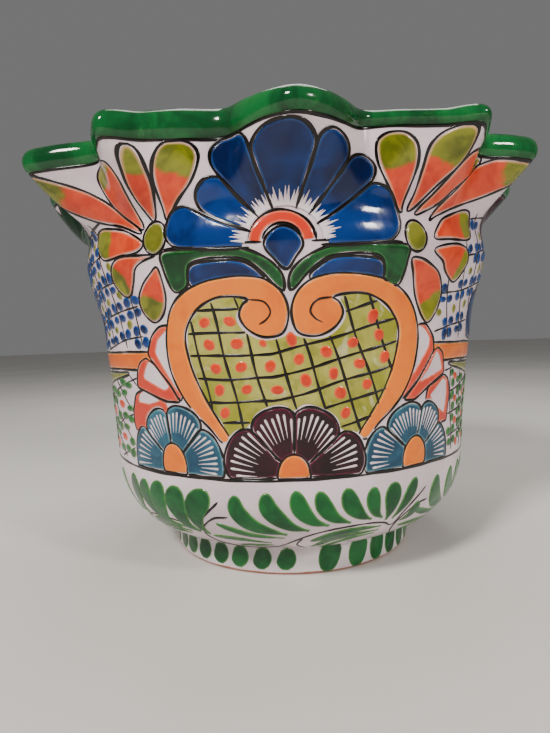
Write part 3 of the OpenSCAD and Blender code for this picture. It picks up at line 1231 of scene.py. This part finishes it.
def lattice_paths():
    """The lattice's leaning lines and its rising rows, all slightly wavy."""
    v = np.linspace(98, 186, 30)
    paths = [pairs(lattice_x(k, v) + 0.5 * np.sin(v / 9 + k), v) for k in range(8)]
    x = np.linspace(-70, 74, 40)
    for k, base in enumerate((175, 162, 149, 135.5, 122, 109.5, 96)):
        paths.append(pairs(x, base + lattice_rise(x) + 0.4 * np.sin(x / 8 + k)))
    return paths


def lattice_dots(dots, outline, taken):
    """A dot in each cell of the lattice that has room for one."""
    for row in range(7):
        for k in range(-1, 8):
            v = 181.5 - 13.2 * row
            x = lattice_x(k, v) + LATTICE_STEP / 2
            place = (x + rng.uniform(-0.8, 0.8), v + lattice_rise(x) + rng.uniform(-0.8, 0.8))
            spot = np.array([place])
            size = min(3.2 + 0.5 * rng.random(), distance_to(outline, spot)[0] - 0.4)
            if size > 1.9 and inside(outline, spot)[0] and not hidden(place, taken, size - 0.6):
                dots.dot(*place, size, OVER - 1, 0.6)


def right_hand(loop):
    """A shape of the scroll's left half mirrored to its right half, which is a little wider."""
    return mirrored(loop, 0.25, 1.06)


def lattice_x(k, v):
    """Where the lattice's leaning line number k is at one height."""
    return -52.4 + LATTICE_STEP * k + (0.17 + 0.035 * k) * (140 - v)


def lattice_rise(x):
    """How far the lattice's rows have risen, to the right of the heart's middle."""
    return 0.25 * np.maximum(x + 10, 0)


def coral_fans(turn, side, ink, shields):
    """White fans edged with a broad coral stroke, behind the teal flowers."""
    coral = Paint(f"{side}_coral_fans", CORAL, turn)
    for loop, hole in LEFT_FANS + RIGHT_FANS:
        ring = softened(np.array(loop, float), 2.0)
        opening = softened(np.array(hole, float), 1.0)
        coral.patch(inset(ring, 0.8), cut=[opening] + shields)
        draw_loop(ink, ring, shields)
    return [coral]


def front_panel(side, turn):
    """Everything painted on the front of the drum and collar."""
    ink = Paint(f"{side}_outlines", LINE, turn)
    flowers = [flower_outline(f, 1.2, 8) for f in (MAROON_FLOWER, TEAL_LEFT, TEAL_RIGHT)]
    scrolls = [curve(SCROLL, closed=True, step=1.5)]
    scrolls.append(right_hand(scrolls[0]))
    parts = blue_flower(turn, side, ink)
    parts += brackets(turn, side, ink, scrolls)
    parts += heart(turn, side, ink, flowers)
    parts += coral_fans(turn, side, ink, flowers + scrolls)
    parts += bottom_flowers(turn, side, ink)
    return parts + [ink]


# Petals of the flowers over the collar's corners: outline, base, tip, and the share of
# the way from base to tip at which the change to olive is complete.
LEFT_PETALS = [
    ([(-66, 227), (-66, 240), (-64.5, 252), (-60.5, 261), (-55.5, 265), (-50, 265),
      (-44.5, 262.5), (-42.5, 256), (-47.5, 244.5), (-58, 234.5)], (-66, 227), (-50, 263), 0.92),
    ([(-74, 227), (-78, 234), (-78, 243), (-76, 251), (-74, 258.5), (-71.5, 263),
      (-68.5, 262), (-67, 255), (-67, 243), (-70.5, 233.5)], (-74, 227), (-72, 262), 0.96),
    ([(-82, 223), (-96, 233), (-104, 244), (-107.5, 256), (-103, 262), (-92, 260.5), (-83, 256),
      (-80.5, 249), (-82, 241.5), (-83.5, 232.5)], (-82, 223), (-97, 262), 1.0),
    ([(-82.5, 221.5), (-102, 239), (-115, 250), (-126, 257), (-136, 262), (-138.5, 254),
      (-136, 245), (-123, 235), (-101, 228)], (-82, 222), (-138, 257), 1.06),
    ([(-82, 216.5), (-95, 224), (-109, 228), (-124, 230), (-133, 224), (-123, 211),
      (-99, 210.5), (-86, 211.5)], (-82, 214), (-131, 222), 0.8),
    ([(-74, 207.5), (-85, 209), (-104, 210), (-115, 205), (-117, 196), (-110, 187.5),
      (-102, 186.5), (-96, 194), (-91.5, 202), (-84, 205.5)], (-78, 209), (-109, 187), 1.02),
    ([(-74.5, 201.5), (-72.5, 194), (-72.5, 183), (-77, 173.5), (-85, 169.5), (-93, 175),
      (-95, 183.5), (-89, 191.5), (-80.5, 198)], (-75, 202), (-86, 169), 0.82),
]
RIGHT_PETALS = [
    ([(62.5, 226.5), (55, 238), (47.5, 251), (46, 261.5), (50, 266.5), (56, 267.5), (61, 266),
      (65.5, 261), (67.5, 252), (66.5, 241), (64.5, 231)], (63, 226), (52, 263), 0.95),
    ([(67.5, 227.5), (70, 236.5), (70.5, 249), (71.5, 260.5), (76, 267), (82, 269), (87, 265),
      (88, 254), (81.5, 242), (75, 232.5)], (67, 227), (82, 262), 1.0),
    ([(72.5, 226.5), (80.5, 236), (85, 245), (91, 257), (105, 264), (115, 265), (116, 259),
      (97, 243), (89.5, 234), (79.5, 228.5)], (72, 226), (114, 259), 1.05),
    ([(83.5, 224), (95, 238), (106, 252), (121, 261.5), (133, 265.5), (142, 266), (146, 261),
      (145, 252.5), (127, 242), (101.5, 232), (89.5, 227)], (83, 223), (144, 261), 1.12),
    ([(86.5, 214), (94, 224.5), (103, 229.5), (117.5, 234), (126, 232), (127, 220),
      (120.5, 215.5), (101, 214.5)], (86, 215), (128, 225), 0.98),
    ([(87.5, 207), (96.5, 210.5), (111, 212.5), (122, 210), (125.5, 203), (119, 193.5),
      (111.5, 189.5), (101, 195), (96.5, 201)], (88, 208), (118, 192), 0.98),
    ([(70.5, 201), (73.5, 193), (78, 179.5), (84.5, 168), (91, 164.5), (98.5, 172.5),
      (101.5, 182.5), (95.5, 194), (84, 200), (76, 202)], (72, 203), (91, 164), 0.9),
]
CORNERS = {
    "left": (LEFT_PETALS, (-73.6, 217.5), 7.8, 9.4, 12),
    "right": (RIGHT_PETALS, (72.6, 214), 7.6, 9.2, -24),
}


def corner_flower(side, hand, turn):
    """Flower that spreads over one corner of the collar: red petals tipped with olive."""
    outlines, *disc = CORNERS[hand]
    petals = Paint(f"{side}_{hand}_corner_petals", PETAL, turn)
    hearts = Paint(f"{side}_{hand}_corner_heart", OLIVE, turn)
    ink = Paint(f"{side}_{hand}_corner_outlines", LINE, turn)
    middle = oval(*disc)
    for loop, base, tip, stretch in outlines:
        far = np.array(base) + (np.array(tip) - np.array(base)) * stretch
        loop = under(closed(loop), turn, 0.4)
        outlined(petals, ink, loop, 0.95, [middle], 0.75, axis=(base, far))
    outlined(hearts, ink, middle, 0.9, half=0.75, lift=0.45)
    return [petals, hearts, ink]


SIDE_BAND = [
    (-130, 141), (-116, 140.5), (-60, 140), (0, 139), (60, 140), (116, 140.5), (130, 141),
]
SIDE_LENS = [
    (-100, 138), (-50, 129), (0, 124), (50, 129), (100, 138), (50, 137.2), (0, 136.4), (-50, 137.2),
]
# Nets of the side panels: how far apart the leaning lines and the rows are, how far the
# lines lean per millimetre down, how steeply the rows rise, where one crossing is, and
# how much wider than high the dabs are.
HIGH_NETS = {
    "right": (20, 22, 0.25, 0.17, (-111.7, 182.6), 1.1),
    "left": (20, 18.7, 0.17, 0.14, (97, 177.3), 1.25),
}
LOW_NETS = {
    "right": (20, 15.5, 0.1, 0.14, (-95, 120), 1.15),
    "left": (30, 22.5, 1.25, 0.29, (78, 104.5), 1.8),
}
# Where the nets are: lowest line, highest line, highest dab, and reach to either side.
HIGH_SPAN = (153, 236, 236, 124)
LOW_SPAN = (78.5, 141, 140, 128)
CROWN_V = 222                                # height of the line the crown flower stands on
FOUR_DABS = [(-3.6, -4.2), (3.6, -3.4), (-3.6, 3.2), (3.6, 4.2)]


def neighbours():
    """Outlines of the front and back panels' shapes, as seen from a side panel."""
    rings = []
    for shapes, flower, away in (
        (RIGHT_FANS + RIGHT_PETALS, TEAL_RIGHT, -90 * MM_PER_DEGREE),
        (LEFT_FANS + LEFT_PETALS, TEAL_LEFT, 90 * MM_PER_DEGREE),
    ):
        for ring in [shape[0] for shape in shapes] + [flower_outline(flower, 1.5, 6)]:
            rings.append(np.add(ring, (away, 0)))
    return rings


def net(ink, low, high, width, weave, shields):
    """Net of leaning lines and rising rows; returns their crossings and the cells' middles."""
    across, rise, lean, slope, (x0, v0), _ = weave

    def trace(x, v):
        good = (np.abs(x) < width) & (v > low) & (v < high)
        if good.sum() > 3:
            draw(ink, pairs(x, v)[good], shields, half=0.58)

    def place(column, row):
        x = (column * across - lean * row * rise) / (1 + lean * slope)
        return x0 + x, v0 + row * rise + slope * x

    crossings, cells = [], []
    for column in range(-12, 13):
        v = np.linspace(low, high, 60)
        trace(x0 + column * across + lean * (v0 - v) + 0.5 * np.sin(v / 7 + column), v)
        for row in range(-6, 7):
            for spots, step in ((crossings, 0), (cells, 0.5)):
                at = place(column + step, row + step)
                if abs(at[0]) < width and low < at[1] < high:
                    spots.append(at)
    for row in range(-6, 7):
        x = np.linspace(-width, width, 150)
        trace(x, v0 + row * rise + slope * (x - x0) + 0.6 * np.sin(x / 11 + row))
    return crossings, cells


def dabs(paint, size, places, offsets, low, high, shields, wide, level=0):
    """Oval dabs at the offsets from each place, left out where something else is painted."""
    for x, v in places:
        for dx, dv in offsets:
            at = (x + dx * wide + rng.uniform(-0.4, 0.4), v + dv + rng.uniform(-0.4, 0.4))
            if low + size < at[1] < high - size and not hidden(at, shields, size):
                paint.dot(*at, size, level, 0.5, wide)


def dotted_net(ink, weave, span, shields, round_crossings, in_cells):
    """Net with four dabs round each crossing and one in each cell, as (paint, size) pairs."""
    low, high, top, width = span
    crossings, cells = net(ink, low, high, width, weave, shields)
    dabs(*round_crossings, crossings, FOUR_DABS, low, top, shields, weave[-1], OVER)
    dabs(*in_cells, cells, [(0, 0)], low, top, shields, weave[-1])


def side_flower(flower, blue, amber, ink):
    """Blue half-flower above the amber band, with an amber heart."""
    centre = flower[0]
    for _, a, b, reach in petals_of(flower):
        blue.patch(petal(centre, a, b, reach, 12, 0.8, SIDE_BEND))
        draw(ink, open_loop(fan(centre, a, b, reach, SIDE_BEND), centre, 11))
    amber.ribbon(ring_arc(centre, 8.8, 2, 178), 2.6)
    draw(ink, ring_arc(centre, 12.2, 0, 180))


def crown_flower(crown, amber, comb, ink):
    """Dark half-flower under the rim, standing on a short line."""
    heart_edge = above(oval((0, 224), 9, 9), CROWN_V)
    for shape in petals_of(SIDE_FLOWER):
        standing_petal(*shape, crown, ink, [heart_edge], CROWN_V)
    rays(comb, SIDE_FLOWER[0], 11, 14.5, 30)
    outlined(amber, ink, heart_edge, 0.8, lift=0.5)
    draw(ink, [(-52, 221.4), (0, 220.8), (52, 221.4)])


def side_panel(side, turn, dark, spread):
    """Everything painted on a side: two dotted nets, an amber band and two half-flowers."""
    ink = Paint(f"{side}_outlines", LINE, turn)
    amber = Paint(f"{side}_amber_band", AMBER, turn)
    olive = Paint(f"{side}_olive_lens", OLIVE, turn)
    blue = Paint(f"{side}_blue_marks", BLUE, turn)
    green = Paint(f"{side}_green_marks", LEAF, turn)
    red = Paint(f"{side}_red_dots", RED_DOT, turn)
    crown = Paint(f"{side}_crown_petals", dark, turn)
    comb = Paint(f"{side}_crown_comb", COMB, turn)
    around = neighbours()
    low_edge = curve(SIDE_BAND)
    band = np.concatenate([low_edge, (low_edge + [0, 11.5])[::-1]])
    lens = curve(SIDE_LENS, True)
    outlined(amber, ink, band, 0.8, around, lift=0.45)
    outlined(olive, ink, lens, 0.8, around)
    centre, angles, reaches = SIDE_BLUE
    flower = (centre, angles, [reach * spread for reach in reaches])
    side_flower(flower, blue, amber, ink)
    crown_flower(crown, amber, comb, ink)
    shields = around + [flower_outline(flower, 1.5, 2), flower_outline(SIDE_FLOWER, 1.5, 4)]
    dotted_net(ink, HIGH_NETS[side], HIGH_SPAN, shields, (blue, 3.0), (olive, 2.7))
    dotted_net(ink, LOW_NETS[side], LOW_SPAN, around + [lens, band], (green, 2.8), (red, 3.0))
    return [ink, amber, olive, blue, green, red, crown, comb]


def hidden(place, rings, margin):
    """True where a place lies in or near one of the outlines."""
    spot = np.array([place], float)
    return any(inside(ring, spot)[0] or distance_to(ring, spot)[0] < margin for ring in rings)


# Leaves of the frieze: path from tail to head and half width, measured from the node
# at which the unit's stem ends.
LEAVES = [
    ([(-80, 36.5), (-101, 44), (-111, 54.5), (-112, 66.5)], 6.0),
    ([(-65, 40), (-78, 44.5), (-90, 56.5), (-92.3, 68.5)], 5.8),
    ([(-52, 43.5), (-63, 48), (-71, 57.5), (-74.3, 69.5)], 5.3),
    ([(-37, 44), (-48.8, 49.5), (-56, 58), (-60, 68.5)], 5.0),
    ([(-22, 44.5), (-30.8, 49.5), (-38.6, 58), (-42.5, 69)], 5.4),
    ([(-13, 44), (-19, 49), (-23, 58), (-24, 68)], 4.8),
    ([(-9, 41), (-8, 50), (-8, 59), (-8.3, 69)], 6.2),
    ([(-3.5, 41), (1, 48), (6.4, 57.5), (11.3, 69)], 4.6),
    ([(6.5, 36.5), (13, 39.5), (17, 44), (18.5, 51)], 4.2),
]
LEFT_LEAVES = [
    ([(-80, 36.5), (-98, 40), (-97, 51.5), (-90, 68)], 6.2),
    ([(-60, 36), (-66, 44), (-62, 58), (-62, 70)], 6.0),
    ([(-36, 36.5), (-44, 44.5), (-47.6, 57), (-43, 68.5)], 5.8),
    ([(-23, 32.5), (-34, 41.5), (-32.5, 58), (-25.6, 69)], 6.4),
    ([(-3.6, 33), (-13, 40), (-16, 55), (-10, 68)], 7.2),
    ([(4, 31.5), (-1.5, 41.5), (1, 55), (13, 67)], 6.8),
]
SMALL_LEAVES = [
    ([(-82, 32.5), (-105, 35.5), (-119, 40), (-130, 44.5)], 2.6),
    ([(-92, 25.5), (-114, 29), (-138, 30.5)], 2.3),
    ([(-10, 35.5), (-30, 36.5), (-47, 33.5), (-64, 27)], 3.4),
    ([(-10, 31.5), (-33, 31), (-50, 26.5), (-62, 14)], 2.8),
    ([(-12, 28), (-30, 26.5), (-44, 20), (-54, 10)], 2.2),
    ([(-90, 22), (-105, 21), (-120, 19)], 1.8),
]
STEMS = [
    [(-87, 19.5), (-68, 33), (-50, 39.5), (-27, 41), (-10, 39), (0, 34.5), (6.5, 46), (22.5, 61)],
    [(-119, 50.5), (-130, 48.5), (-140, 40.5), (-143.5, 33), (-141, 24.5), (-131, 16),
     (-112, 11), (-86, 19)],
    [(-69, 32), (-73.3, 21.5), (-66, 12)],
]
NODE = 74.5                                  # where the right front unit's stem ends
LEFT_NODE = -69.0                            # where the left front unit's big leaves meet
UNIT = 60 * MM_PER_DEGREE                    # from one unit of the frieze to the next


def lower_frieze(turn):
    """Leaves and stems on the bowl: three units to each half of the pot."""
    left = [(np.add(path, (LEFT_NODE - NODE + UNIT, 0)), wide) for path, wide in LEFT_LEAVES]
    units = ((NODE, LEAVES, 1.1), (NODE + UNIT, LEAVES, 1.1), (NODE - UNIT, left, 1.26))
    pieces = []
    for half in range(2):
        for number, (node, shapes, fat) in enumerate(units, 3 * half + 1):
            leaves = Paint(f"bowl_leaves_{number}", LEAF, turn + 180 * half)
            ink = Paint(f"bowl_stem_{number}", LINE, turn + 180 * half)
            for path, wide in shapes + SMALL_LEAVES:
                path = np.add(path, (node, 0))
                leaves.patch(teardrop(path, wide * fat, 0.67, 0.2, 0.5), lift=0.5)
            for path in STEMS:
                draw(ink, curve(np.add(path, (node, 0))), half=0.75)
            pieces += [leaves, ink]
    return pieces


# Degrees round the foot of each leaf's top and bottom.
FOOT_LEAVES = [
    (-65.5, -61.5), (-56, -53), (-46.5, -43.5), (-37, -34), (-27.5, -24.5), (-17.5, -14.5),
    (-7, -4.5), (17, 9), (30, 22.5), (40, 34), (49.6, 44), (59, 54), (69, 64.5), (78, 74.5),
    (87, 84), (97, 94), (106, 103.5),
]


def foot_leaves():
    """Leaf dabs round the foot ring, the same on both halves of the pot."""
    leaves = Paint("foot_leaves", LEAF, place=on_foot)
    for half in (0, 180):
        for top, low in FOOT_LEAVES:
            top, low = (top + half) * MM_PER_DEGREE, (low + half) * MM_PER_DEGREE
            path = [(top + 1.2, 18.4), (top * 0.45 + low * 0.55, 12), (low - 1.2, 3.6)]
            leaves.patch(teardrop(path, 10.4, 0.52, 0.3, 0.5), lift=0.45)
    return [leaves]


def ring_line(name, height_of, half):
    """Ink line right round the pot."""
    ink = Paint(name, LINE)
    x = np.linspace(-180, 180, 420) * MM_PER_DEGREE
    width = half * (1 + 0.2 * np.sin(x / 9) + 0.15 * np.sin(x / 4.1))
    ink.ribbon(pairs(x, height_of(x / MM_PER_DEGREE)), width)
    return ink


def band_height(turn):
    """Height of the line between bowl and drum, which waves a little."""
    return BAND_Z + 2.4 + 0.4 * np.sin(np.radians(3 * turn))


def paint_pot():
    """All the painting on the pot."""
    pieces = []
    for side, turn in (("front", FRONT), ("back", FRONT + 180)):
        pieces += front_panel(side, turn)
        for hand in CORNERS:
            pieces += corner_flower(side, hand, turn)
    pieces += side_panel("right", FRONT + 90, MAROON, 0.88)
    pieces += side_panel("left", FRONT + 270, FOREST, 0.7)
    pieces += lower_frieze(FRONT)
    pieces += foot_leaves()
    pieces.append(ring_line("band_line", band_height, 0.8))
    pieces.append(ring_line("rim_line", line_height, 0.85))
    for piece in pieces:
        piece.build()


make_foot()
make_floor()
make_bowl()
make_drum()
make_collar()
make_rim()
paint_pot()


# ---------------------------------------------------------------- light, floor, camera

FLOOR_RINGS = (0.35, 1.2, 9)                 # metres
# Soft boxes: place, where they aim, size in metres, and watts.
LIGHTS = {
    "key": ((-0.8, -1.2, 1.3), (0, 0, 0.15), 0.3, 34),
    "fill": ((1.2, -1.2, 0.9), (0, 0, 0.15), 0.24, 15),
    "top": ((0.1, 0.5, 1.6), (0, 0, 0.2), 0.9, 12),
}
LIGHT_COLOUR = (1.0, 0.97, 0.93)
SKY_GREY = 0.80
SKY_STRENGTH = 0.22
CAMERA_PLACE = (-0.022, -0.4495, 0.1589)
CAMERA_LENS = 27.06                          # millimetres, with a sensor 36 wide
CAMERA_TURN = -1.55                          # degrees to the right
CAMERA_TILT = -3.1                           # degrees up from level
CAMERA_ROLL = -1.85


def backdrop():
    """Pale floor, wide enough to fill the view."""
    mesh = bpy.data.meshes.new("floor")
    count = 64
    turns = np.linspace(0, 2 * np.pi, count, endpoint=False)
    points = [(r * math.cos(a), r * math.sin(a), 0.0) for r in FLOOR_RINGS for a in turns]
    points.append((0, 0, 0))
    faces = [[i, (i + 1) % count, len(points) - 1] for i in range(count)]
    for k in range(len(FLOOR_RINGS) - 1):
        near, far = k * count, (k + 1) * count
        for i in range(count):
            j = (i + 1) % count
            faces.append([near + i, far + i, far + j, near + j])
    mesh.from_pydata(points, [], faces)
    n = Nodes("floor_paper", 0.6)
    shade = n.span(n.noise(3, 3.0), 0.3, 0.7)
    n.feed(n.shader.inputs["Base Color"], n.mix(shade, srgb(214, 211, 206), srgb(222, 219, 214)))
    mesh.materials.append(n.material)
    floor = bpy.data.objects.new("floor", mesh)
    bpy.context.scene.collection.objects.link(floor)


def soft_box(name, place, aim, size, power):
    """Square soft light at a place, aimed at a point of the pot."""
    light = bpy.data.lights.new(name, "AREA")
    light.shape = "RECTANGLE"
    light.size = light.size_y = size
    light.energy = power
    light.color = LIGHT_COLOUR
    obj = bpy.data.objects.new(name, light)
    obj.location = place
    obj.rotation_euler = (Vector(aim) - Vector(place)).to_track_quat("-Z", "Y").to_euler()
    bpy.context.scene.collection.objects.link(obj)


def studio():
    """Even grey surroundings and three soft boxes."""
    world = bpy.data.worlds.new("studio")
    world.use_nodes = True
    sky = world.node_tree.nodes["Background"].inputs
    sky["Color"].default_value = (SKY_GREY, SKY_GREY, SKY_GREY, 1)
    sky["Strength"].default_value = SKY_STRENGTH
    bpy.context.scene.world = world
    for name, box in LIGHTS.items():
        soft_box(name, *box)


def camera():
    """Camera a little above the middle of the pot, close to it."""
    lens = bpy.data.cameras.new("camera")
    lens.lens = CAMERA_LENS
    lens.sensor_width = 36
    lens.clip_start = 0.01
    obj = bpy.data.objects.new("camera", lens)
    turn = Matrix.Rotation(math.radians(CAMERA_TURN), 4, "Z")
    tilt = Matrix.Rotation(math.radians(90 + CAMERA_TILT), 4, "X")
    roll = Matrix.Rotation(math.radians(CAMERA_ROLL), 4, "Z")
    obj.matrix_world = Matrix.Translation(CAMERA_PLACE) @ turn @ tilt @ roll
    bpy.context.scene.collection.objects.link(obj)
    bpy.context.scene.camera = obj


backdrop()
studio()
camera()
